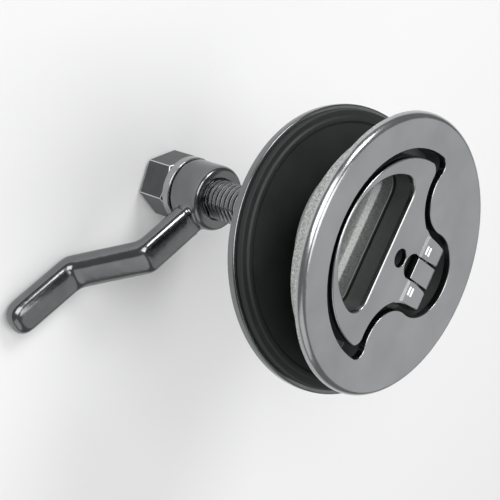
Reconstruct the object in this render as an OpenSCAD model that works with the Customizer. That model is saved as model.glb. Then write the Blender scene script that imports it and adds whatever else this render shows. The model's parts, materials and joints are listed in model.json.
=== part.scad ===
// Flush hatch handle with a key-turned cam lock.
// Origin: centre of the flange's underside, where it sits on the hatch. +Z points out of the hatch.
// +X points from the spindle to the handle's hinge, and the hinge pin lies along Y.
// Every fit is the shared size plus a named clearance, so a changed size carries through.

/* [Flange and body] */
// Diameter of the round face plate
flange_d = 76; // [70:1:84]
// Thickness of the face plate
flange_t = 2.6; // [2:0.1:4]
// Radius on the face plate's front edge
flange_edge = 2.2; // [1:0.1:2.5]
// Diameter of the body that drops into the hatch cut-out
spigot_d = 63; // [61:0.5:66]
// Depth of that body below the flange
spigot_h = 7.1; // [6.5:0.1:9]
// Thickness of the pocket floor
floor_t = 2.9; // [2.2:0.1:3]
// Depth of the finger well below the pocket floor
well_drop = 4.8; // [3:0.2:5]
// Wall round the finger well
well_wall = 1.7; // [1.2:0.1:2.5]
// Distance of the finger well's straight side from the spindle axis
well_edge = 6.4; // [6.2:0.1:8]
// Radius between the finger well's walls and its floor
well_round = 3.4; // [1:0.1:4]

/* [Handle outline] */
// Radius of the pocket's wide arc, round the spindle axis
pocket_r = 28.8; // [27.5:0.1:29.5]
// Radius of the pocket's two shoulders
shoulder_r = 2.8; // [2:0.1:4]
// Radius of the concave neck
neck_r = 10; // [9:0.2:11]
// Radius of the round lobe at the hinge
lobe_r = 11.8; // [11:0.1:12.5]
// Distance of that lobe from the spindle axis
lobe_x = 13.8; // [13:0.1:14.5]
// Gap between handle and pocket at the neck
neck_gap = 2.2; // [1.6:0.1:2.6]
// Radius of the handle's wide arc
grip_r = 26; // [25.5:0.1:26.5]
// Shift of that arc away from the hinge
grip_shift = 1.2; // [0.4:0.1:1.4]
// Thickness of the handle
handle_t = 6.3; // [5.5:0.1:6.6]

/* [Finger slot and key hole] */
// Radius of the slot's curved side
slot_r = 19.2; // [18:0.2:20]
// Distance of that curve's centre from the spindle axis
slot_x = 7; // [6:0.2:8]
// Distance of the slot's straight side from the spindle axis
slot_edge = 6; // [5:0.2:7]
// Radius of the slot's corners
slot_corner = 4.6; // [3.5:0.1:5.5]
// Diameter of the key hole above the spindle
key_hole_d = 5; // [4.8:0.1:6]

/* [Hinge] */
// Distance of the hinge pin from the spindle axis
hinge_x = 15.7; // [15:0.1:16]
// Outside radius of the knuckles
knuckle_r = 4.3; // [4:0.1:4.4]
// Height of the knuckles above the face plate
knuckle_rise = 0.5; // [0.2:0.1:0.8]
// Width of the three knuckles together
knuckle_w = 18.8; // [18:0.2:19.2]
// Distance from the pin to the flat end of the outer knuckles
knuckle_tail = 7.6; // [7:0.1:8]
// Width of the middle knuckle, which stands on the body
lug_w = 6; // [5:0.2:7]
// Distance from the pin to the flat end of the middle knuckle
lug_tail = 8.4; // [7.8:0.1:8.6]
// Diameter of the hinge pin
pin_d = 4; // [3:0.1:4.4]

/* [Spindle] */
// Diameter of the spindle's thread
thread_d = 12; // [11:0.5:12]
// Distance across the two flats along the thread
flats = 10.6; // [9.6:0.1:11]
// Diameter of the plain journal in the barrel
journal_d = 12.4; // [12.2:0.1:13]
// Diameter of the neck that comes up through the floor
neck_d = 7.6; // [7.2:0.1:8]
// Thickness of the floor that the neck runs in
shelf_t = 3.8; // [3:0.1:5]
// Depth of the recess for the retaining ring
recess_h = 1.4; // [1.2:0.1:1.8]
// Outside diameter of the retaining ring
ring_d = 10; // [9.4:0.1:10.2]
// Thickness of the retaining ring
ring_t = 1; // [0.8:0.1:1.1]
// Depth of the retaining ring's groove
ring_groove = 0.7; // [0.5:0.1:0.8]
// Distance across the key socket's flats
socket_af = 4; // [3:0.5:4]
// Depth of the key socket
socket_h = 5; // [4:0.5:7]
// Length of the spindle beyond the cam's nut
rod_past = 0.6; // [0.2:0.1:3]
// Cord diameter of the spindle's sealing ring
seal_cord = 1.8; // [1.5:0.1:2.2]
// Thickness of the plastic washer on the spindle's shoulder
thrust_t = 0.6; // [0.4:0.1:1]

/* [Barrel and clamp] */
// Diameter of the barrel's thread
barrel_d = 20; // [19.5:0.5:22]
// Distance of the barrel's end below the flange's underside
barrel_end = 38.4; // [37:0.2:42]
// Distance across the barrel nut's flats
barrel_nut_af = 30; // [28:0.5:34]
// Height of the barrel nut
barrel_nut_h = 8; // [6:0.5:9]
// Diameter of the clamp washer
clamp_d = 40; // [37:0.5:44]
// Thickness of the clamp washer
clamp_t = 2; // [1.5:0.1:3]

/* [Backing plate] */
// Diameter of the backing plate
plate_d = 79; // [74:0.5:82]
// Thickness of the metal plate
plate_t = 2.5; // [2:0.1:3]
// Thickness of the gasket's flat
gasket_t = 1.6; // [1:0.1:2]
// Height of the gasket's sealing lip
lip_h = 0.4; // [0.2:0.1:0.6]
// Step from the plate's rim in to the gasket
gasket_step = 1.1; // [0.8:0.1:2]
// Slope of the gasket's edge and of its lip's sides
gasket_slope = 0.5; // [0.3:0.1:0.8]
// Distance of the lip from the gasket's rim
lip_in = 2; // [1.5:0.1:3]
// Width of the lip
lip_w = 2; // [1.5:0.1:3]
// Lean of the loose plate, in degrees
plate_tilt = 13.1; // [8:0.1:13.5]
// Direction of that lean, in degrees round the spindle
lean_turn = 150; // [145:1:155]
// Sag of the loose plate across the spindle
plate_sag = 4.36; // [2:0.02:4.6]
// Distance of the plate's rear face below the flange's underside
plate_z = 18.8; // [18.6:0.1:20]

/* [Cam] */
// Direction of the cam arm round the spindle, in degrees
cam_turn = 240; // [235:1:245]
// Distance of the cam's front below the flange's underside
cam_z = 64.4; // [62:0.2:66]
// Diameter of the cam's hub
hub_d = 20; // [18:0.5:22]
// Length of the cam's hub
hub_h = 12; // [10:0.2:13]
// Radius on the hub's front edge
hub_round = 1.6; // [0.8:0.1:2]
// Radius on the hub's rear edge
hub_back = 0.8; // [0.4:0.1:1.2]
// Step from the hub's front down to the arm
arm_drop = 2; // [1:0.1:3]
// Width of the cam arm
arm_w = 10.6; // [9:0.2:12]
// Offset of the arm's centre line from the spindle axis
arm_offset = 1.4; // [0:0.1:2]
// Thickness of the cam arm
arm_t = 5.7; // [5.5:0.1:7]
// Radius along the cam arm's edges
arm_round = 2.6; // [1:0.1:2.7]
// Reach from the spindle to the first bend
bend_a = 29.6; // [27:0.2:32]
// Reach from the spindle to the second bend
bend_b = 44.4; // [42:0.2:48]
// Set-back of the arm's far stretch
arm_set = 17.4; // [12:0.2:20]
// Reach from the spindle to the arm's tip
arm_reach = 67.6; // [63:0.2:72]
// Radius of the tip's rear corner, seen along the spindle
tip_rear = 4.2; // [2.8:0.1:5]
// Radius of the tip's front corner, seen along the spindle
tip_front = 3.6; // [2.7:0.1:4.5]

/* [Stop and fasteners] */
// Swing of the cam, in degrees
swing = 90; // [60:5:100]
// Thickness of the stop washer
stop_t = 1.5; // [1.2:0.1:2]
// Height of the stop washer's tab
tab_h = 2; // [1.5:0.1:2.5]
// Width of the stop washer's tab, in degrees
tab_arc = 30; // [24:1:40]
// Distance across the spindle nuts' flats
nut_af = 18; // [17:0.5:19]
// Turn of the cam's nut, in degrees
nut_turn = 42; // [0:1:59]
// Height of the thin nut that holds the stop washer
jam_h = 6; // [5:0.5:7]
// Height of the nut that holds the cam
nut_h = 10.2; // [9:0.2:11]
// Outside diameter of the split washer
split_d = 20.6; // [19:0.1:21.5]
// Thickness of the split washer
split_t = 2.8; // [2:0.1:3]
// Width of the split washer's and the retaining ring's openings
split_gap = 1.2; // [0.8:0.1:1.6]
// Turn of that opening from the cam arm, in degrees
split_turn = 60; // [40:1:80]

/* [Clearances] */
// Radial clearance where one piece turns in another
run_gap = 0.05; // [0.03:0.01:0.08]
// Radial clearance where a piece is fixed
seat_gap = 0.02; // [0.01:0.01:0.03]
// Side clearance between the knuckles
side_gap = 0.4; // [0.2:0.05:0.6]
// Clearance where a piece hangs loose
loose_gap = 0.2; // [0.15:0.05:0.25]

/* [Hidden] */
$fn = 96;
corner_fn = 32;
arc_step = 5;
eps = 0.01;
past = 1;
face_z = flange_t;
floor_z = floor_t - spigot_h;
well_z = floor_z - well_drop;
handle_z = face_z - handle_t;
knuckle_top = face_z + knuckle_rise;
hinge_z = knuckle_top - knuckle_r;
trough_gap = 2 * loose_gap;
trough_z = hinge_z - knuckle_r - trough_gap;
trough_x = hinge_x - knuckle_r - trough_gap;
recess_z = floor_z - recess_h;
bore_top = recess_z - shelf_t;
shoulder_z = bore_top - thrust_t;
neck_top = floor_z - loose_gap;
bore_d = journal_d + 2 * run_gap;
recess_d = ring_d + 2 * loose_gap;
groove_d = neck_d - 2 * ring_groove;
seal_drop = 7;
seal_z = shoulder_z - seal_drop;
seal_mid = journal_d / 2 - seal_cord / 2;
seal_groove_h = seal_cord + 2 * loose_gap;
plate_hole = 2 * ((plate_sag + barrel_d / 2) / cos(plate_tilt) + loose_gap);
clamp_z = plate_z + tan(plate_tilt) * (clamp_d / 2 + plate_sag) + loose_gap;
barrel_nut_z = clamp_z + clamp_t;
stop_z = barrel_end + loose_gap;
jam_z = stop_z + stop_t;
stop_play = 1;
stop_in = journal_d / 2 + stop_play;
split_z = cam_z + hub_h;
nut_z = split_z + split_t;
spindle_end = nut_z + nut_h + rod_past;
nut_corner = 0.4;
thread_bore = thread_d + 2 * seat_gap;
bend_angle = atan2(arm_set, bend_b - bend_a);
neck_back = 2.5;
neck_x = lobe_x - neck_back;
neck_y = sqrt(pow(lobe_r + neck_r, 2) - pow(lobe_x - neck_x, 2));

// Points along a circle from one angle to another
function arc(cx, cy, r, a0, a1) = let (n = max(2, ceil(abs(a1 - a0) / arc_step)))
  [for (i = [0:n]) [cx + r * cos(a0 + (a1 - a0) * i / n), cy + r * sin(a0 + (a1 - a0) * i / n)]];

// The same points on the other side of X, in reverse order
function flip(pts) = [for (i = [len(pts) - 1:-1:0]) [pts[i][0], -pts[i][1]]];

// Where a circle round (c0, 0) meets one round (c1, y1), on the side away from the hinge
function meet(c0, r0, c1, y1, r1) = let (
    dx = c1 - c0,
    d = sqrt(dx * dx + y1 * y1),
    a = (d * d + r0 * r0 - r1 * r1) / (2 * d),
    h = sqrt(r0 * r0 - a * a))
  [c0 + a * dx / d - h * y1 / d, a * y1 / d + h * dx / d];

// From a start angle on the concave neck, over the shoulder and round the wide arc
function neck_to_arc(c0, wide, neck, start) = let (
    s = meet(c0, wide - shoulder_r, neck_x, neck_y, neck + shoulder_r),
    a_in = atan2(s[1] - neck_y, s[0] - neck_x),
    a_out = atan2(s[1], s[0] - c0))
  concat(arc(neck_x, neck_y, neck, start, a_in - 360),
    arc(s[0], s[1], shoulder_r, a_in - 180, a_out),
    arc(c0, 0, wide, a_out, 180));

function pocket_half() = let (a_lobe = atan2(neck_y, neck_x - lobe_x))
  concat(arc(lobe_x, 0, lobe_r, 0, a_lobe), neck_to_arc(0, pocket_r, neck_r, a_lobe - 180));

function handle_half() = let (
    neck = neck_r + neck_gap,
    side = (neck_y - knuckle_w / 2) / neck)
  concat([[hinge_x, knuckle_w / 2]], neck_to_arc(-grip_shift, grip_r, neck, -asin(min(1, side))));

function slot_half(edge, grow) = let (
    cx = -edge - slot_corner,
    cy = sqrt(pow(slot_r - slot_corner, 2) - pow(slot_x + cx, 2)),
    a = atan2(cy, cx + slot_x))
  concat(arc(cx, cy, slot_corner + grow, 0, a), arc(-slot_x, 0, slot_r + grow, a, 180));

module both(half) {
  polygon(concat(half, flip(half)));
}

module ring(outer, inner, h) {
  difference() {
    cylinder(d = outer, h = h);
    translate([0, 0, -past]) cylinder(d = inner, h = h + 2 * past);
  }
}

// Ring with a narrow opening, which lets it spring
module open_ring(outer, inner, h) {
  difference() {
    ring(outer, inner, h);
    rotate([0, 0, split_turn]) translate([0, -split_gap / 2, -past]) cube([outer, split_gap, h + 2 * past]);
  }
}

// Quarter of a round corner, with its centre at the origin
module corner_quarter(r) {
  intersection() {
    circle(r = r, $fn = corner_fn);
    square(r + past);
  }
}

// Disc with a round upper edge and, where asked, a round lower edge
module soft_disc(d, h, top, low = 0) {
  rotate_extrude() union() {
    square([d / 2 - max(top, low), h]);
    translate([0, low]) square([d / 2, h - top - low]);
    square([d / 2 - low, h - top]);
    translate([d / 2 - top, h - top]) corner_quarter(top);
    if (low > 0) translate([d / 2 - low, low]) mirror([0, 1]) corner_quarter(low);
  }
}

// Hexagon prism with one chamfered end, bored through
module hex_nut(af, h, bore) {
  corner = af / cos(30);
  cut = (corner - af) / 2 * tan(30);
  difference() {
    intersection() {
      cylinder(d = corner, h = h, $fn = 6);
      union() {
        cylinder(d = corner + past, h = h - cut);
        translate([0, 0, h - cut]) cylinder(d1 = corner, d2 = af - nut_corner, h = cut);
      }
    }
    translate([0, 0, -past]) cylinder(d = bore, h = h + 2 * past);
  }
}

// Round bar with two flats
module double_d(d, af, h) {
  intersection() {
    cylinder(d = d, h = h);
    translate([-af / 2, -d, 0]) cube([af, 2 * d, h]);
  }
}

module at_plate() {
  rotate([0, 0, lean_turn]) translate([-plate_sag, 0, -plate_z]) rotate([0, plate_tilt, 0]) children();
}

module at_hinge() {
  translate([hinge_x, 0, hinge_z]) rotate([90, 0, 0]) children();
}

// Finger well with round corners along its floor
module well_space() {
  hull() {
    translate([0, 0, well_z + well_round]) linear_extrude(well_drop) both(slot_half(well_edge, 0));
    for (a = [30:30:90]) translate([0, 0, well_z + well_round * (1 - sin(a))])
      linear_extrude(eps) both(slot_half(well_edge, well_round * (cos(a) - 1)));
  }
}

module pocket_space() {
  translate([0, 0, floor_z]) linear_extrude(face_z - floor_z + past) both(pocket_half());
  intersection() {
    translate([0, 0, trough_z]) linear_extrude(face_z - trough_z) both(pocket_half());
    translate([trough_x, -pocket_r, trough_z - past]) cube(2 * pocket_r);
  }
}

// Middle knuckle, rooted in the pocket's floor
module hinge_lug() {
  foot = trough_z - hinge_z - eps;
  translate([0, lug_w / 2, 0]) at_hinge() linear_extrude(lug_w) union() {
    circle(r = knuckle_r);
    translate([-lug_tail, foot]) square([lug_tail, knuckle_r - foot]);
    translate([0, foot]) square([knuckle_r, -foot]);
  }
}

// Notch in the barrel's end, in which the stop washer's tab swings
module stop_notch() {
  span = swing + tab_arc + 2 * stop_play;
  translate([0, 0, -barrel_end - past]) rotate([0, 0, cam_turn - tab_arc / 2 - stop_play])
    rotate_extrude(angle = span) translate([stop_in, 0]) square([barrel_d, tab_h + past + loose_gap]);
}

module housing() {
  color("silver") difference() {
    union() {
      difference() {
        union() {
          soft_disc(flange_d, flange_t, flange_edge);
          translate([0, 0, -spigot_h]) cylinder(d = spigot_d, h = spigot_h + eps);
          translate([0, 0, well_z - well_wall])
            linear_extrude(well_drop + well_wall) both(slot_half(well_edge, well_wall));
          translate([0, 0, -barrel_end]) cylinder(d = barrel_d, h = barrel_end + floor_z);
        }
        pocket_space();
        well_space();
      }
      hinge_lug();
    }
    translate([0, 0, recess_z]) cylinder(d = recess_d, h = recess_h + past);
    translate([0, 0, bore_top - past]) cylinder(d = neck_d + 2 * run_gap, h = shelf_t + 2 * past);
    translate([0, 0, -barrel_end - past]) cylinder(d = bore_d, h = barrel_end + past + bore_top);
    translate([0, lug_w, 0]) at_hinge() cylinder(d = pin_d + 2 * run_gap, h = 2 * lug_w);
    stop_notch();
  }
}

// Slot between the two outer knuckles, round at its inner end
module handle_notch() {
  w = lug_w + 2 * side_gap;
  x = hinge_x - lug_tail - 2 * side_gap;
  low = hinge_z - knuckle_r - past;
  translate([x, -w / 2, low]) cube([lug_tail + 3 * knuckle_r, w, knuckle_top - low + past]);
  translate([x, 0, low]) cylinder(d = w, h = knuckle_top - low + past);
}

module handle() {
  color("gainsboro") difference() {
    union() {
      translate([0, 0, handle_z]) linear_extrude(handle_t) both(handle_half());
      translate([hinge_x - knuckle_tail, -knuckle_w / 2, handle_z])
        cube([knuckle_tail, knuckle_w, knuckle_top - handle_z]);
      translate([0, knuckle_w / 2, 0]) at_hinge() cylinder(r = knuckle_r, h = knuckle_w);
    }
    translate([0, 0, handle_z - past]) linear_extrude(handle_t + 2 * past) both(slot_half(slot_edge, 0));
    translate([0, 0, handle_z - past]) cylinder(d = key_hole_d, h = handle_t + 2 * past);
    handle_notch();
    translate([0, knuckle_w, 0]) at_hinge() cylinder(d = pin_d + 2 * seat_gap, h = 2 * knuckle_w);
  }
}

module hinge_pin() {
  color("lightgray") translate([0, knuckle_w / 2, 0]) at_hinge() cylinder(d = pin_d, h = knuckle_w);
}

module spindle() {
  rod = spindle_end - barrel_end + eps;
  color("silver") difference() {
    union() {
      translate([0, 0, shoulder_z - eps]) cylinder(d = neck_d, h = neck_top - shoulder_z + eps);
      translate([0, 0, -barrel_end]) cylinder(d = journal_d, h = barrel_end + shoulder_z);
      translate([0, 0, -spindle_end]) rotate([0, 0, cam_turn]) double_d(thread_d, flats, rod);
    }
    translate([0, 0, recess_z]) ring(neck_d + past, groove_d, ring_t + run_gap);
    translate([0, 0, seal_z - seal_groove_h / 2])
      ring(journal_d + past, journal_d - 2 * seal_cord, seal_groove_h);
    translate([0, 0, neck_top - socket_h]) cylinder(d = socket_af / cos(30), h = socket_h + past, $fn = 6);
  }
}

module retaining_ring() {
  color("lightgray") translate([0, 0, recess_z + run_gap]) rotate([0, 0, cam_turn])
    open_ring(ring_d, groove_d + 2 * seat_gap, ring_t - run_gap);
}

module spindle_seal() {
  color("dimgray") translate([0, 0, seal_z]) rotate_extrude()
    translate([seal_mid, 0]) circle(d = seal_cord, $fn = corner_fn);
}

module thrust_washer() {
  color("ivory") translate([0, 0, shoulder_z + run_gap])
    ring(journal_d, neck_d + 2 * loose_gap, thrust_t - run_gap);
}

module stop_washer() {
  tab_in = stop_in + loose_gap;
  color("lightgray") difference() {
    union() {
      translate([0, 0, -jam_z]) cylinder(d = barrel_d, h = stop_t);
      translate([0, 0, -jam_z]) rotate([0, 0, cam_turn - tab_arc / 2]) rotate_extrude(angle = tab_arc)
        translate([tab_in, 0]) square([barrel_d / 2 - tab_in, stop_t + tab_h]);
    }
    translate([0, 0, -jam_z - past]) rotate([0, 0, cam_turn])
      double_d(thread_bore, flats + 2 * seat_gap, stop_t + 2 * past);
  }
}

module jam_nut() {
  color("lightgray") translate([0, 0, -jam_z - jam_h]) rotate([0, 0, cam_turn])
    hex_nut(nut_af, jam_h, thread_bore);
}

module clamp_washer() {
  color("lightgray") translate([0, 0, -barrel_nut_z]) ring(clamp_d, barrel_d + 2 * loose_gap, clamp_t);
}

module barrel_nut() {
  color("silver") translate([0, 0, -barrel_nut_z - barrel_nut_h])
    hex_nut(barrel_nut_af, barrel_nut_h, barrel_d + 2 * seat_gap);
}

module backing_plate() {
  color("silver") at_plate() ring(plate_d, plate_hole, plate_t);
}

module backing_gasket() {
  rim = plate_d / 2 - gasket_step;
  lip = rim - lip_in;
  top = gasket_t + lip_h;
  color("black") at_plate() translate([0, 0, plate_t]) rotate_extrude() polygon([
    [plate_hole / 2, 0], [rim, 0], [rim - gasket_slope, gasket_t],
    [lip, gasket_t], [lip - gasket_slope, top],
    [lip - lip_w + gasket_slope, top], [lip - lip_w, gasket_t],
    [plate_hole / 2, gasket_t]]);
}

// Thin slice across the arm, turned to the bend's mitre
module arm_slice(reach, drop, mitre) {
  deep = arm_t / cos(mitre);
  translate([reach, 0, -drop]) rotate([0, mitre, 0]) translate([0, 0, -deep]) rotate([90, 0, 90])
    linear_extrude(eps) translate([arm_offset - arm_w / 2, 0]) union() {
      translate([arm_round, 0]) square([arm_w - 2 * arm_round, deep]);
      translate([0, arm_round]) square([arm_w, deep - 2 * arm_round]);
      for (x = [arm_round, arm_w - arm_round], y = [arm_round, deep - arm_round])
        translate([x, y]) circle(r = arm_round, $fn = corner_fn);
    }
}

// One corner of the arm's tip; side is -1 at the rear and 1 at the front
module tip_corner(drop, side, r) {
  translate([arm_reach - r, arm_offset + side * (arm_w / 2 - r), -drop - arm_t])
    rotate_extrude($fn = corner_fn) union() {
      square([r - arm_round, arm_t]);
      translate([0, arm_round]) square([r, arm_t - 2 * arm_round]);
      for (y = [arm_round, arm_t - arm_round])
        translate([r - arm_round, y]) intersection() {
          circle(r = arm_round, $fn = corner_fn);
          translate([arm_round - r, -arm_t]) square([r, 2 * arm_t]);
        }
    }
}

module cam_arm() {
  far = arm_drop + arm_set;
  mitre = bend_angle / 2;
  color("silver") translate([0, 0, -cam_z]) rotate([0, 0, cam_turn]) difference() {
    union() {
      translate([0, 0, -hub_h]) soft_disc(hub_d, hub_h, hub_round, hub_back);
      hull() {
        arm_slice(0, arm_drop, 0);
        arm_slice(bend_a, arm_drop, mitre);
      }
      hull() {
        arm_slice(bend_a, arm_drop, mitre);
        arm_slice(bend_b, far, mitre);
      }
      hull() {
        arm_slice(bend_b, far, mitre);
        tip_corner(far, -1, tip_rear);
        tip_corner(far, 1, tip_front);
      }
    }
    translate([0, 0, -hub_h - past]) double_d(thread_bore, flats + 2 * seat_gap, hub_h + 2 * past);
  }
}

module split_washer() {
  color("lightgray") translate([0, 0, -nut_z]) rotate([0, 0, cam_turn])
    open_ring(split_d, thread_bore, split_t);
}

module cam_nut() {
  color("lightgray") translate([0, 0, -nut_z - nut_h]) rotate([0, 0, nut_turn])
    hex_nut(nut_af, nut_h, thread_bore);
}

housing();
handle();
hinge_pin();
spindle();
retaining_ring();
spindle_seal();
thrust_washer();
stop_washer();
jam_nut();
clamp_washer();
barrel_nut();
backing_plate();
backing_gasket();
cam_arm();
split_washer();
cam_nut();
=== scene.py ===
# %% [markdown]
# # A lockable hatch handle
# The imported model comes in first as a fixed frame: every solid already sits where it belongs, in
# metres, with the centre of the flange's underside at the origin and +Z pointing out of the hatch.
# The lesson dresses those solids: it breaks their edges, cuts a real thread, paints the metals and
# the rubber, and lights them like the photograph.

# %% Load the frame
import bpy
import json
import math
from mathutils import Matrix, Vector

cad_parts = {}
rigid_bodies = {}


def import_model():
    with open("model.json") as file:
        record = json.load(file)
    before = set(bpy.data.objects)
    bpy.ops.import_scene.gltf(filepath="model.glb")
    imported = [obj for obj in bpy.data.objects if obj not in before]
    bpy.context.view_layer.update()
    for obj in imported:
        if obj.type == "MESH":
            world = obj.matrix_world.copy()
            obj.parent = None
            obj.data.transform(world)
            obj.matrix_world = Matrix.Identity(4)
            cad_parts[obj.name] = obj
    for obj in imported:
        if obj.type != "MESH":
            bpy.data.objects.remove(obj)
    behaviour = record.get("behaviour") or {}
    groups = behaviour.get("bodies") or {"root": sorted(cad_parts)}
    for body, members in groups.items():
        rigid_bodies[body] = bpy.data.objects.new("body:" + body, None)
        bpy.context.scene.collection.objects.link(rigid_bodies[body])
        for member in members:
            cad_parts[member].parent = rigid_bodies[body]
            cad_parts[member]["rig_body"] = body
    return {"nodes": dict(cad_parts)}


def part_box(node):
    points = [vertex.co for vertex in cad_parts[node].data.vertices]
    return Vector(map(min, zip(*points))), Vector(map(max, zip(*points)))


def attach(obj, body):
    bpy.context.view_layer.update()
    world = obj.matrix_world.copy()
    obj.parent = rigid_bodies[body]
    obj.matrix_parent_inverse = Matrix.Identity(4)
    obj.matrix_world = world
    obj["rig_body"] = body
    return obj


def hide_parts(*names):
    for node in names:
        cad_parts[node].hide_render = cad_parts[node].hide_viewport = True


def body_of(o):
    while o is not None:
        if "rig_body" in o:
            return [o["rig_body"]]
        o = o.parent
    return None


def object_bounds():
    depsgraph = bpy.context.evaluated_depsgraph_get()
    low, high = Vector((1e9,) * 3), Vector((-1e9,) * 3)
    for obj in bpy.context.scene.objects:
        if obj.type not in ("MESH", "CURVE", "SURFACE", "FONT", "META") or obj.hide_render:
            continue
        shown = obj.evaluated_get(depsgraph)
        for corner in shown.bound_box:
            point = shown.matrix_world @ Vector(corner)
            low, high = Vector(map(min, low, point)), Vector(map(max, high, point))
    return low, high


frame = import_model()
cad_box = [list(corner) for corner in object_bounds()]
MM = 0.001

# %% [markdown]
# ## The camera
# The face plate is a circle, so its ellipse in the picture gives the camera's direction, and the
# pocket's arc and the key hole, which share its centre, give the distance. The camera stands about
# 28 cm off, to the left of the face and a little in front of it, and it is rolled because the part
# lay on its rim. Three unit vectors hold that turn, so that no angle has to be guessed.

# %% Camera
CAMERA_PLACE = Vector((-232.64, -42.67, 157.43)) * MM
VIEW_RIGHT = Vector((0.56427, 0.41790, 0.71201))
VIEW_DOWN = Vector((0.34526, -0.90284, 0.25628))
LENS_MM = 78.14
SENSOR_MM = 36.0

camera_data = bpy.data.cameras.new("photo_camera")
camera_data.lens = LENS_MM
camera_data.sensor_width = SENSOR_MM
camera_data.clip_start = 0.01
camera = bpy.data.objects.new("photo_camera", camera_data)
bpy.context.scene.collection.objects.link(camera)
back = VIEW_RIGHT.cross(-VIEW_DOWN)
turn = Matrix((VIEW_RIGHT, -VIEW_DOWN, back)).transposed().to_4x4()
camera.matrix_world = Matrix.Translation(CAMERA_PLACE) @ turn
bpy.context.scene.camera = camera
print("camera stands", round(CAMERA_PLACE.length / MM), "mm from the origin")

# %% [markdown]
# ## Small helpers
# Colours are written as the hex values that a picture shows, and one function turns them to the
# linear values that the shader needs. Another adds a node, sets it and links it, and a few short
# ones name the nodes that come back in every finish, so that each material reads as a list.

# %% Helpers for materials
def linear(hex_colour):
    def channel(value):
        return value / 12.92 if value <= 0.04045 else ((value + 0.055) / 1.055) ** 2.4
    return tuple(channel(int(hex_colour[i:i + 2], 16) / 255) for i in (1, 3, 5)) + (1.0,)


def add(tree, kind, sockets=None, **settings):
    made = tree.nodes.new(kind)
    for name, value in settings.items():
        setattr(made, name, value)
    for name, value in (sockets or {}).items():
        if isinstance(value, bpy.types.NodeSocket):
            tree.links.new(value, made.inputs[name])
        else:
            made.inputs[name].default_value = value
    return made


def new_surface(name, metallic):
    material = bpy.data.materials.new(name)
    material.use_nodes = True
    tree = material.node_tree
    tree.nodes["Principled BSDF"].inputs["Metallic"].default_value = metallic
    place = add(tree, "ShaderNodeTexCoord").outputs["Object"]
    return material, tree, place


def noise(tree, place, size_mm, detail, roughness=0.5):
    return add(tree, "ShaderNodeTexNoise", {
        "Vector": place, "Scale": 1.0 / (size_mm * MM),
        "Detail": detail, "Roughness": roughness}).outputs["Fac"]


def remap(tree, value, low, high, to_low=0.0, to_high=1.0):
    return add(tree, "ShaderNodeMapRange", {
        "Value": value, "From Min": low, "From Max": high,
        "To Min": to_low, "To Max": to_high}).outputs["Result"]


def mix(tree, factor, first, second, kind="RGBA"):
    sockets = {"Factor": factor, "A": first, "B": second}
    return add(tree, "ShaderNodeMix", sockets, data_type=kind).outputs["Result"]


def calc(tree, kind, *values):
    sockets = dict(enumerate(values))
    return add(tree, "ShaderNodeMath", sockets, operation=kind).outputs["Value"]


def dress(tree, tone, rough, height, strength, depth_mm):
    sockets = {"Height": height, "Strength": strength, "Distance": depth_mm * MM}
    bump = add(tree, "ShaderNodeBump", sockets).outputs["Normal"]
    shader = tree.nodes["Principled BSDF"]
    for name, value in (("Base Color", tone), ("Roughness", rough), ("Normal", bump)):
        tree.links.new(value, shader.inputs[name])


print("the grey #808080 is", round(linear("#808080")[0], 3), "in linear light")

# %% [markdown]
# ## Polished and cast stainless steel
# The face plate and handle are cast in stainless steel. Their fronts are ground and buffed, which
# leaves faint strokes and a few dings, while the pocket, the body and the barrel keep the grainy
# skin of the casting. One material holds both, because they are one piece of metal: the height
# above the hatch says which skin a point has, and together with the distance from the spindle it
# also marks the pocket, which gets a painted shade.

# %% Stainless steel, buffed face and cast skin
FACE_MM = 2.6
FLOOR_MM = -4.2
POCKET_RADIUS_MM = 28.8
# Share of the painted pocket shade that is kept in the well below its floor.
WELL_GRIME = 0.6


def from_spindle(tree, place):
    flat = {0: place, 1: (1.0, 1.0, 0.0)}
    across = add(tree, "ShaderNodeVectorMath", flat, operation="MULTIPLY").outputs["Vector"]
    return add(tree, "ShaderNodeVectorMath", {0: across}, operation="LENGTH").outputs["Value"]


def ramp(tree, value, low_mm, high_mm, least=0.0):
    return remap(tree, value, low_mm * MM, high_mm * MM, least)


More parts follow.
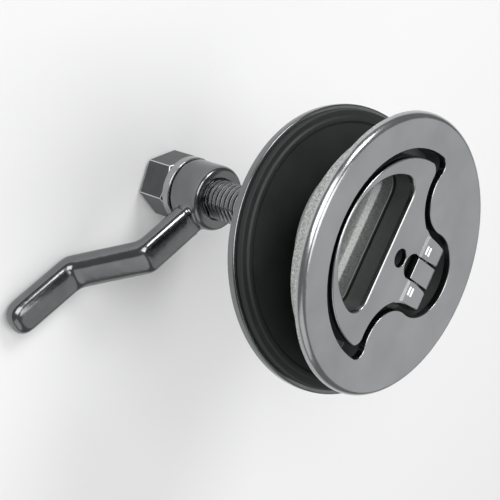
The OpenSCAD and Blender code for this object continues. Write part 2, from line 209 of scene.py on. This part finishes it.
def buffed_stainless(name, cast_below_mm):
    material, tree, place = new_surface(name, 1.0)
    height = add(tree, "ShaderNodeSeparateXYZ", {"Vector": place}).outputs["Z"]
    # The buffed front starts where the edge rounds over; the cast skin takes all that is below it.
    buffed = ramp(tree, height, cast_below_mm - 0.15, cast_below_mm + 0.15)
    # Buffing strokes about 0.25 mm wide, stretched along Y.
    stretch = {"Vector": place, "Scale": (1.0, 0.06, 1.0)}
    strokes_at = add(tree, "ShaderNodeMapping", stretch).outputs["Vector"]
    strokes = noise(tree, strokes_at, 0.25, 3.0, 0.6)
    # Cloudy patches about 14 mm across, left by hand polishing.
    clouds = noise(tree, place, 14.0, 2.0)
    # Casting grain about 0.5 mm, a little coarser than life so that it shows.
    grain = noise(tree, place, 0.5, 4.0, 0.65)
    speckle = remap(tree, grain, 0.36, 0.64)
    # Dings: sparse cells about 9 mm apart with a small dark heart.
    cells = add(tree, "ShaderNodeTexVoronoi", {
        "Vector": place, "Scale": 1.0 / (9.0 * MM), "Randomness": 1.0}).outputs["Distance"]
    ding = remap(tree, cells, 0.03, 0.055, 1.0, 0.0)
    face_tone = mix(tree, clouds, linear("#9c9ea0"), linear("#bcbebf"))
    cast_tone = mix(tree, speckle, linear("#8e908f"), linear("#dadbd9"))
    tone = mix(tree, buffed, cast_tone, face_tone)
    # Painted shade: the pocket round the handle is darkened towards #767877, as if in shadow; below
    # the well's floor only 0.6 of that shade is kept.
    under_face = ramp(tree, height, FACE_MM - 0.1, FACE_MM - 0.9)
    over_floor = ramp(tree, height, FLOOR_MM - 0.4, FLOOR_MM - 0.1, WELL_GRIME)
    radius = from_spindle(tree, place)
    in_pocket = ramp(tree, radius, POCKET_RADIUS_MM + 0.5, POCKET_RADIUS_MM + 0.1)
    grime = calc(tree, "MULTIPLY", calc(tree, "MULTIPLY", under_face, over_floor), in_pocket)
    tone = mix(tree, grime, tone, linear("#767877"))
    face_rough = remap(tree, strokes, 0.3, 0.7, 0.17, 0.25)
    cast_rough = remap(tree, grain, 0.3, 0.7, 0.5, 0.62)
    rough = mix(tree, buffed, cast_rough, face_rough, "FLOAT")
    face_relief = calc(tree, "SUBTRACT", calc(tree, "MULTIPLY", strokes, 0.03), ding)
    relief = mix(tree, buffed, grain, face_relief, "FLOAT")
    dress(tree, tone, rough, relief, 0.35, 0.05)
    return material


housing_steel = buffed_stainless("buffed_face_cast_body", 0.6)
handle_steel = buffed_stainless("buffed_handle", 1.2)
print("stainless:", housing_steel.name, handle_steel.name)

# %% [markdown]
# ## Satin castings and turned parts
# The cam and the backing plate are tumbled after casting, so they shine softly all over. The nuts
# and washers are turned from bar and pickled, which makes them darker, with fine rings round their
# axis. Their corners are painted bright: partly the wear of spanners and handling, partly a painted
# highlight along the edges.

# %% Tumbled casting and turned bar
def tumbled_casting():
    material, tree, place = new_surface("tumbled_casting", 1.0)
    # Grain about 0.8 mm, soft patches about 6 mm, and low waves about 2.5 mm.
    grain = noise(tree, place, 0.8, 4.0)
    patches = noise(tree, place, 6.0, 3.0)
    waves = noise(tree, place, 2.5, 2.0)
    tone = mix(tree, patches, linear("#6c6e6f"), linear("#858788"))
    rough = remap(tree, grain, 0.3, 0.7, 0.15, 0.22)
    skin = calc(tree, "MULTIPLY_ADD", grain, 0.12, waves)
    dress(tree, tone, rough, skin, 0.5, 0.06)
    return material


def turned_bar(name, dark, light, low_rough, high_rough, groove_mm=None):
    material, tree, place = new_surface(name, 1.0)
    # Tool marks about 0.2 mm apart run round the axis, so the noise is squeezed along Z only.
    squeeze = {"Vector": place, "Scale": (0.08, 0.08, 1.0)}
    marks_at = add(tree, "ShaderNodeMapping", squeeze).outputs["Vector"]
    marks = noise(tree, marks_at, 0.2, 2.0)
    stains = noise(tree, place, 3.5, 4.0)
    tone = mix(tree, stains, linear(dark), linear(light))
    if groove_mm:
        # Painted shade: the roots of a thread are darkened towards #38393a, as if in shadow, while
        # the crests keep the plain tone.
        crests = ramp(tree, from_spindle(tree, place), groove_mm[0], groove_mm[1])
        tone = mix(tree, crests, linear("#38393a"), tone)
    rough = remap(tree, marks, 0.3, 0.7, low_rough, high_rough)
    dress(tree, tone, rough, marks, 0.12, 0.03)
    return material


cam_steel = tumbled_casting()
nut_steel = turned_bar("turned_nut", "#505253", "#626466", 0.2, 0.28)
# Partly wear, partly a painted highlight: the bevels of nuts and washers are painted much brighter
# than their flats.
worn_corner = turned_bar("worn_corner", "#c6c8c9", "#dcddde", 0.26, 0.36)
rod_steel = turned_bar("rolled_rod", "#9c9ea0", "#b4b6b7", 0.2, 0.3)
print("satin metals:", cam_steel.name, nut_steel.name, worn_corner.name, rod_steel.name)

# %% [markdown]
# ## Rubber and plastic
# The gasket is moulded nitrile rubber: almost black, with a soft sheen and a bloom of dust that
# breaks the black. The thrust washer is white acetal, which hardly shows.

# %% Moulded rubber and acetal
def moulded(name, dark, light, low_rough, high_rough, grain_mm):
    material, tree, place = new_surface(name, 0.0)
    # The bloom lies in patches about 11 mm across.
    grain = noise(tree, place, grain_mm, 4.0)
    bloom = noise(tree, place, 11.0, 4.0)
    tone = mix(tree, bloom, linear(dark), linear(light))
    rough = remap(tree, bloom, 0.3, 0.7, low_rough, high_rough)
    dress(tree, tone, rough, grain, 0.2, 0.04)
    return material


gasket_rubber = moulded("nitrile_rubber", "#141616", "#242726", 0.5, 0.62, 0.4)
washer_acetal = moulded("white_acetal", "#d8d6cc", "#e4e2d9", 0.4, 0.5, 0.3)
print("moulded:", gasket_rubber.name, washer_acetal.name)

# %% [markdown]
# ## Breaking the edges
# No edge on a machined or cast piece is perfectly sharp: the file, the tumbler or the buffing wheel
# takes it off, and the thin bright line it leaves is what makes metal look solid. Each solid is
# copied, its loose triangles are merged, its flat facets are joined, and a small bevel rounds every
# edge that is sharp enough.

# %% Copy a solid and break its edges
def only(piece):
    bpy.ops.object.select_all(action="DESELECT")
    piece.select_set(True)
    bpy.context.view_layer.objects.active = piece


def edit(piece, kind="VERT", action="SELECT"):
    only(piece)
    bpy.ops.object.mode_set(mode="EDIT")
    bpy.ops.mesh.select_mode(type=kind)
    bpy.ops.mesh.select_all(action=action)


def copy_solid(node):
    only(frame["nodes"][node])
    bpy.ops.object.duplicate()
    piece = bpy.context.active_object
    bpy.ops.object.parent_clear(type="CLEAR_KEEP_TRANSFORM")
    bpy.ops.object.transform_apply(location=True, rotation=True, scale=True)
    piece.name = node + "_piece"
    edit(piece)
    bpy.ops.mesh.remove_doubles(threshold=0.004 * MM)
    bpy.ops.mesh.dissolve_limited(angle_limit=math.radians(0.4))
    bpy.ops.mesh.normals_make_consistent(inside=False)
    bpy.ops.object.mode_set(mode="OBJECT")
    return piece


def apply_modifier(piece, kind, **settings):
    only(piece)
    modifier = piece.modifiers.new(kind.lower(), kind)
    for name, value in settings.items():
        setattr(modifier, name, value)
    bpy.ops.object.modifier_apply(modifier=modifier.name)


def smooth(piece, angle=40):
    # The solid's own normals no longer fit its new faces, so they are cleared first.
    only(piece)
    bpy.ops.mesh.customdata_custom_splitnormals_clear()
    bpy.ops.object.shade_smooth_by_angle(angle=math.radians(angle))
    apply_modifier(piece, "WEIGHTED_NORMAL", keep_sharp=True)


def break_edges(piece, edge_mm):
    # The new faces take the piece's last material, so a worn corner, painted bright partly for wear
    # and partly as a highlight, can differ from the flats.
    apply_modifier(piece, "BEVEL", width=edge_mm * MM, segments=3, limit_method="ANGLE",
                   angle_limit=math.radians(28), miter_outer="MITER_ARC", use_clamp_overlap=True,
                   material=len(piece.data.materials) - 1)
    smooth(piece)


def paint(piece, *materials):
    piece.data.materials.clear()
    for material in materials:
        piece.data.materials.append(material)


def finish_piece(piece, node):
    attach(piece, body_of(frame["nodes"][node])[0])
    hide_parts(node)
    print(piece.name, len(piece.data.polygons), "faces")


for node, edge_mm, materials, slot in (
        ("hinge_pin", 0.3, (rod_steel,), "satin_steel"),
        ("stop_washer", 0.15, (rod_steel,), "satin_steel"),
        ("clamp_washer", 0.25, (rod_steel, worn_corner), "satin_steel"),
        ("backing_plate", 0.5, (cam_steel,), "satin_steel"),
        ("retaining_ring", 0.1, (rod_steel,), "satin_steel"),
        ("jam_nut", 0.25, (nut_steel, worn_corner), "nut_steel"),
        ("barrel_nut", 0.35, (nut_steel, worn_corner), "nut_steel"),
        ("split_washer", 0.5, (rod_steel,), "nut_steel"),
        ("cam_nut", 0.3, (nut_steel, worn_corner), "nut_steel"),
        ("backing_gasket", 0.2, (gasket_rubber,), "rubber"),
        ("spindle_seal", 0.05, (gasket_rubber,), "rubber"),
        ("thrust_washer", 0.05, (washer_acetal,), "plastic")):
    piece = copy_solid(node)
    paint(piece, *materials)
    break_edges(piece, edge_mm)
    finish_piece(piece, node)

# %% [markdown]
# ## The handle's knuckles
# The knuckles turn under the user's fingers, so the rims of their round backs are rounder than the
# other edges. They are picked by their distance from the hinge pin. Two punch marks on each outer
# knuckle hold the hinge pin, as a fitter does it with a chisel, and they are cut out of the metal
# with a Boolean.

# %% Handle with round knuckles and punch marks
HINGE_X_MM = 15.7
HINGE_Z_MM = -1.2
KNUCKLE_MM = 4.3
KNUCKLE_TOP_MM = HINGE_Z_MM + KNUCKLE_MM
HANDLE_LOW_MM = -3.7
GRIP_END_MM = 6.6
KEY_HOLE_MM = 2.6
NOTCH_MM = 3.5
MARK_X_MM = 10.0
MARK_Y_MM = 5.9
MARK_STEP_MM = 1.4
PUNCH_MM = 0.55
PUNCH_LENGTH_MM = 2.4


def pick_edges(piece, wanted):
    edit(piece, "EDGE", "DESELECT")
    bpy.ops.object.mode_set(mode="OBJECT")
    points = [vertex.co / MM for vertex in piece.data.vertices]
    count = 0
    for edge in piece.data.edges:
        edge.select = wanted(*(points[i] for i in edge.vertices))
        count += edge.select
    bpy.ops.object.mode_set(mode="EDIT")
    print(piece.name, count, "edges picked")


def on_round_back(point):
    away = math.hypot(point.x - HINGE_X_MM, point.z - HINGE_Z_MM)
    return point.x > HINGE_X_MM - 0.01 and abs(away - KNUCKLE_MM) < 0.03


def back_rim(a, b):
    return on_round_back(a) and on_round_back(b) and abs(a.y - b.y) < 0.01


def top_rim(a, b):
    on_top = min(a.z, b.z) > KNUCKLE_TOP_MM - 0.02
    return on_top and max(a.x, b.x) < HINGE_X_MM + 0.01 and min(a.x, b.x) < HINGE_X_MM - 0.01


def near_holes(point):
    return -KEY_HOLE_MM < point.x < GRIP_END_MM and abs(point.y) < NOTCH_MM


def on_faces(a, b):
    level = abs(a.z - b.z) < 0.01
    from_face = min(abs(a.z - FACE_MM), abs(a.z - HANDLE_LOW_MM))
    return level and from_face < 0.01 and max(a.x, b.x) < GRIP_END_MM


def grip_rim(a, b):
    return on_faces(a, b) and not near_holes(a) and not near_holes(b)


def hole_rim(a, b):
    return on_faces(a, b) and near_holes(a) and near_holes(b)


handle = copy_solid("handle")
paint(handle, handle_steel)
# Without sliding, the rims on the flat faces keep an even width.
for rim, round_mm, slide in (
        (back_rim, 1.0, True), (top_rim, 0.3, True), (grip_rim, 0.45, False), (hole_rim, 0.2, False)):
    pick_edges(handle, rim)
    bpy.ops.mesh.bevel(offset=round_mm * MM, segments=4, clamp_overlap=False, loop_slide=slide)
    bpy.ops.object.mode_set(mode="OBJECT")

bpy.ops.object.select_all(action="DESELECT")
bpy.ops.mesh.primitive_cube_add(size=MM)
punch = bpy.context.active_object
punch.name = "punch"
edit(punch)
bpy.ops.transform.resize(value=(PUNCH_MM, PUNCH_LENGTH_MM, PUNCH_MM))
bpy.ops.transform.rotate(value=math.radians(45), orient_axis="Y", center_override=(0.0, 0.0, 0.0))
bpy.ops.transform.translate(
    value=((MARK_X_MM - MARK_STEP_MM / 2) * MM, MARK_Y_MM * MM, KNUCKLE_TOP_MM * MM))
bpy.ops.mesh.duplicate_move(TRANSFORM_OT_translate={"value": (MARK_STEP_MM * MM, 0.0, 0.0)})
bpy.ops.mesh.select_all(action="SELECT")
bpy.ops.mesh.duplicate_move(TRANSFORM_OT_translate={"value": (0.0, -2.0 * MARK_Y_MM * MM, 0.0)})
bpy.ops.object.mode_set(mode="OBJECT")
paint(punch, handle_steel)
apply_modifier(handle, "BOOLEAN", operation="DIFFERENCE", object=punch, solver="EXACT")
bpy.data.objects.remove(punch)
edit(handle)
bpy.ops.mesh.remove_doubles(threshold=0.02 * MM)
bpy.ops.object.mode_set(mode="OBJECT")
smooth(handle)
finish_piece(handle, "handle")

# %% [markdown]
# ## The cam as one casting
# The cam is cast in one piece, so the arm grows out of the hub without a hard corner. A voxel remesh
# turns the copy into an even skin, and rounds of smoothing run every corner together, inside and
# outside, the way molten metal fills a mould. The arm gets more rounds than the machined hub. Since
# smoothing thins it, it is then pushed out again along its normals.

# %% Cam with cast corners
VOXEL_MM = 0.35
CAST_ROUNDS = 24
ARM_START_MM = 12.0
ARM_ROUNDS = 60
ARM_SWELL_MM = 0.35
BLEND_ROUNDS = 4

cam = copy_solid("cam_arm")
paint(cam, cam_steel)
apply_modifier(cam, "REMESH", mode="VOXEL", voxel_size=VOXEL_MM * MM)
apply_modifier(cam, "SMOOTH", factor=0.5, iterations=CAST_ROUNDS)
edit(cam, action="DESELECT")
bpy.ops.object.mode_set(mode="OBJECT")
for vertex in cam.data.vertices:
    vertex.select = math.hypot(vertex.co.x, vertex.co.y) > ARM_START_MM * MM
bpy.ops.object.mode_set(mode="EDIT")
bpy.ops.mesh.vertices_smooth(factor=0.5, repeat=ARM_ROUNDS)
bpy.ops.transform.shrink_fatten(value=ARM_SWELL_MM * MM)
bpy.ops.object.mode_set(mode="OBJECT")
apply_modifier(cam, "SMOOTH", factor=0.5, iterations=BLEND_ROUNDS)
only(cam)
bpy.ops.object.shade_smooth()
finish_piece(cam, "cam_arm")

# %% [markdown]
# ## Real threads
# The rod carries an M12 thread with two flats milled along it, which key the cam and the stop
# washer. A single vertex is pushed along one tooth, and the Screw modifier sweeps that line up the
# rod, one pitch for each turn. A turned blank with a chamfered end trims it, so the thread runs out
# in a cone as on a real bolt.

# %% Thread, flats and chamfer
PITCH_MM = 1.75
CREST_MM = 5.97
ROOT_MM = 4.9
FLAT_MM = 5.3
FLAT_TURN = math.radians(240)
CHAMFER_MM = 1.2
JOURNAL_END_MM = -38.4
ROD_END_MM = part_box("spindle")[0][2] / MM
# Root, flank, crest and flank as shares of one pitch.
TOOTH_SHARES = (0.25, 0.3125, 0.125, 0.3125)


def blank(name, radius_mm, low_mm, high_mm, chamfer_mm):
    bpy.ops.object.select_all(action="DESELECT")
    bpy.ops.mesh.primitive_cylinder_add(
        vertices=96, radius=radius_mm * MM, depth=(high_mm - low_mm) * MM,
        location=(0.0, 0.0, (low_mm + high_mm) / 2 * MM))
    made = bpy.context.active_object
    made.name = name
    bpy.ops.object.transform_apply(location=True)
    pick_edges(made, lambda a, b: max(a.z, b.z) < low_mm + 0.01)
    bpy.ops.mesh.bevel(offset=chamfer_mm * MM, segments=1)
    bpy.ops.object.mode_set(mode="OBJECT")
    return made


def cut_away(point, normal):
    bpy.ops.mesh.select_all(action="SELECT")
    bpy.ops.mesh.bisect(
        plane_co=point, plane_no=normal, use_fill=True, clear_outer=True, threshold=0.0001 * MM)


def face_outward():
    bpy.ops.mesh.select_all(action="SELECT")
    bpy.ops.mesh.normals_make_consistent(inside=False)
    bpy.ops.object.mode_set(mode="OBJECT")


def threaded_rod(name, root_mm, crest_mm, pitch_mm, low_mm, high_mm):
    bpy.ops.object.select_all(action="DESELECT")
    bpy.ops.mesh.primitive_plane_add(size=pitch_mm * MM)
    made = bpy.context.active_object
    made.name = name
    edit(made)
    bpy.ops.mesh.merge(type="CENTER")
    bpy.ops.transform.translate(value=(root_mm * MM, 0.0, (low_mm - 2 * pitch_mm) * MM))
    tooth_mm = crest_mm - root_mm
    for out_mm, share in zip((0.0, tooth_mm, 0.0, -tooth_mm), TOOTH_SHARES):
        bpy.ops.mesh.extrude_vertices_move(
            TRANSFORM_OT_translate={"value": (out_mm * MM, 0.0, share * pitch_mm * MM)})
    bpy.ops.object.mode_set(mode="OBJECT")
    turns = math.ceil((high_mm - low_mm) / pitch_mm) + 4
    apply_modifier(
        made, "SCREW", screw_offset=pitch_mm * MM, iterations=turns, steps=48, render_steps=48)
    edit(made)
    bpy.ops.mesh.remove_doubles(threshold=0.001 * MM)
    cut_away((0.0, 0.0, low_mm * MM), (0.0, 0.0, -1.0))
    cut_away((0.0, 0.0, high_mm * MM), (0.0, 0.0, 1.0))
    face_outward()
    return made


# The rod starts a little inside the journal, and the trim stands a little wider and longer.
rod = threaded_rod("thread_rod", ROOT_MM, CREST_MM, PITCH_MM, ROD_END_MM, JOURNAL_END_MM + 0.8)
across = Vector((math.cos(FLAT_TURN), math.sin(FLAT_TURN), 0.0))
edit(rod)
for side in (1.0, -1.0):
    cut_away(across * side * FLAT_MM * MM, across * side)
face_outward()
trim = blank("thread_trim", CREST_MM + 0.05, ROD_END_MM + 0.01, JOURNAL_END_MM + 2.0, CHAMFER_MM)
apply_modifier(rod, "BOOLEAN", operation="INTERSECT", object=trim, solver="EXACT")
bpy.data.objects.remove(trim)

# Radii over which the painted root shade of the thread fades out.
groove_mm = (ROOT_MM + 0.1, CREST_MM - 0.3)
thread_steel = turned_bar("rolled_thread", "#aeb0b1", "#c2c4c5", 0.2, 0.3, groove_mm)
paint(rod, thread_steel)
spindle = copy_solid("spindle")
paint(spindle, thread_steel)
edit(spindle)
cut_away((0.0, 0.0, (JOURNAL_END_MM + 0.05) * MM), (0.0, 0.0, -1.0))
bpy.ops.object.mode_set(mode="OBJECT")
break_edges(spindle, 0.2)
apply_modifier(spindle, "BOOLEAN", operation="UNION", object=rod, solver="EXACT")
bpy.data.objects.remove(rod)
smooth(spindle, 30)
finish_piece(spindle, "spindle")

# %% [markdown]
# ## The threaded barrel
# The barrel behind the body is threaded too, for the nut that clamps the backing plate. A die cuts
# it: a ring-shaped block with the thread inside it is taken away from the barrel, just as a real die
# takes away the grooves.

# %% Housing with a thread cut by a die
BARREL_MM = 10.0
BARREL_PITCH_MM = 2.0
BARREL_ROOT_MM = 8.8
THREAD_TOP_MM = -14.0

housing = copy_solid("housing")
paint(housing, housing_steel)
break_edges(housing, 0.25)
# The die reaches past the barrel's side and end, and the thread in it reaches past the die.
inside = threaded_rod("die_thread", BARREL_ROOT_MM, BARREL_MM - 0.04, BARREL_PITCH_MM,
                      JOURNAL_END_MM - 2.0, THREAD_TOP_MM + 1.0)
die = blank("die", BARREL_MM + 2.0, JOURNAL_END_MM - 1.0, THREAD_TOP_MM, 0.2)
paint(die, housing_steel)
paint(inside, housing_steel)
apply_modifier(die, "BOOLEAN", operation="DIFFERENCE", object=inside, solver="EXACT")
bpy.data.objects.remove(inside)
apply_modifier(housing, "BOOLEAN", operation="DIFFERENCE", object=die, solver="EXACT")
bpy.data.objects.remove(die)
smooth(housing)
finish_piece(housing, "housing")

# %% [markdown]
# ## Floor and light
# The photograph was taken on a white sweep, so the floor is a plain pale sheet that keeps the
# shadow. The large key lamp stands behind the camera, where it whitens the rounded rim and hides the
# shadow behind the part, and a lamp overhead lights the floor. A small strong one draws the bright
# ridge along the cam, a broad dim card on the right gives the flat face its even grey, and a fill
# keeps the near side from going black. The rest of the room is dim, because polished metal only
# looks like metal when it has something dark to show.

# %% Floor, world and lamps
FLOOR_TONE = "#f2f2f2"
FLOOR_SIZE = 8.0
FLOOR_GAP_MM = 0.5
ROOM_LEVEL = 0.24


def pale_floor():
    material = bpy.data.materials.new("pale_floor")
    material.use_nodes = True
    shader = material.node_tree.nodes["Principled BSDF"]
    shader.inputs["Base Color"].default_value = linear(FLOOR_TONE)
    shader.inputs["Roughness"].default_value = 0.9
    return material


floor_height = cad_box[0][2] - FLOOR_GAP_MM * MM
bpy.ops.mesh.primitive_plane_add(size=FLOOR_SIZE, location=(0.0, 0.0, floor_height))
floor = bpy.context.active_object
floor.name = "floor"
floor.data.materials.append(pale_floor())

world = bpy.data.worlds.new("studio")
bpy.context.scene.world = world
world.use_nodes = True
background = world.node_tree.nodes["Background"]
background.inputs["Color"].default_value = (1.0, 1.0, 1.0, 1.0)
background.inputs["Strength"].default_value = ROOM_LEVEL


def softbox(name, direction, distance, size, level):
    lamp = bpy.data.lights.new(name, "AREA")
    lamp.shape = "SQUARE"
    lamp.size = size
    # A square lamp of this power looks this bright in a mirror.
    lamp.energy = level * math.pi * size * size
    made = bpy.data.objects.new(name, lamp)
    bpy.context.scene.collection.objects.link(made)
    made.location = Vector(direction).normalized() * distance
    made.rotation_euler = made.location.to_track_quat("Z", "Y").to_euler()
    print(name, "lamp", round(lamp.energy, 1), "W")


softbox("key", (-0.65, 0.1, 0.75), 1.6, 1.1, 3.8)
softbox("top", (0.1, 0.1, 1.0), 1.6, 0.8, 2.4)
softbox("ridge", (-0.33, 0.73, 0.6), 1.4, 0.5, 9.0)
softbox("card", (0.75, 0.1, 0.65), 1.5, 1.6, 0.45)
softbox("fill", (0.02, -0.86, 0.47), 1.5, 1.1, 0.7)
bpy.context.scene.view_settings.view_transform = "Standard"
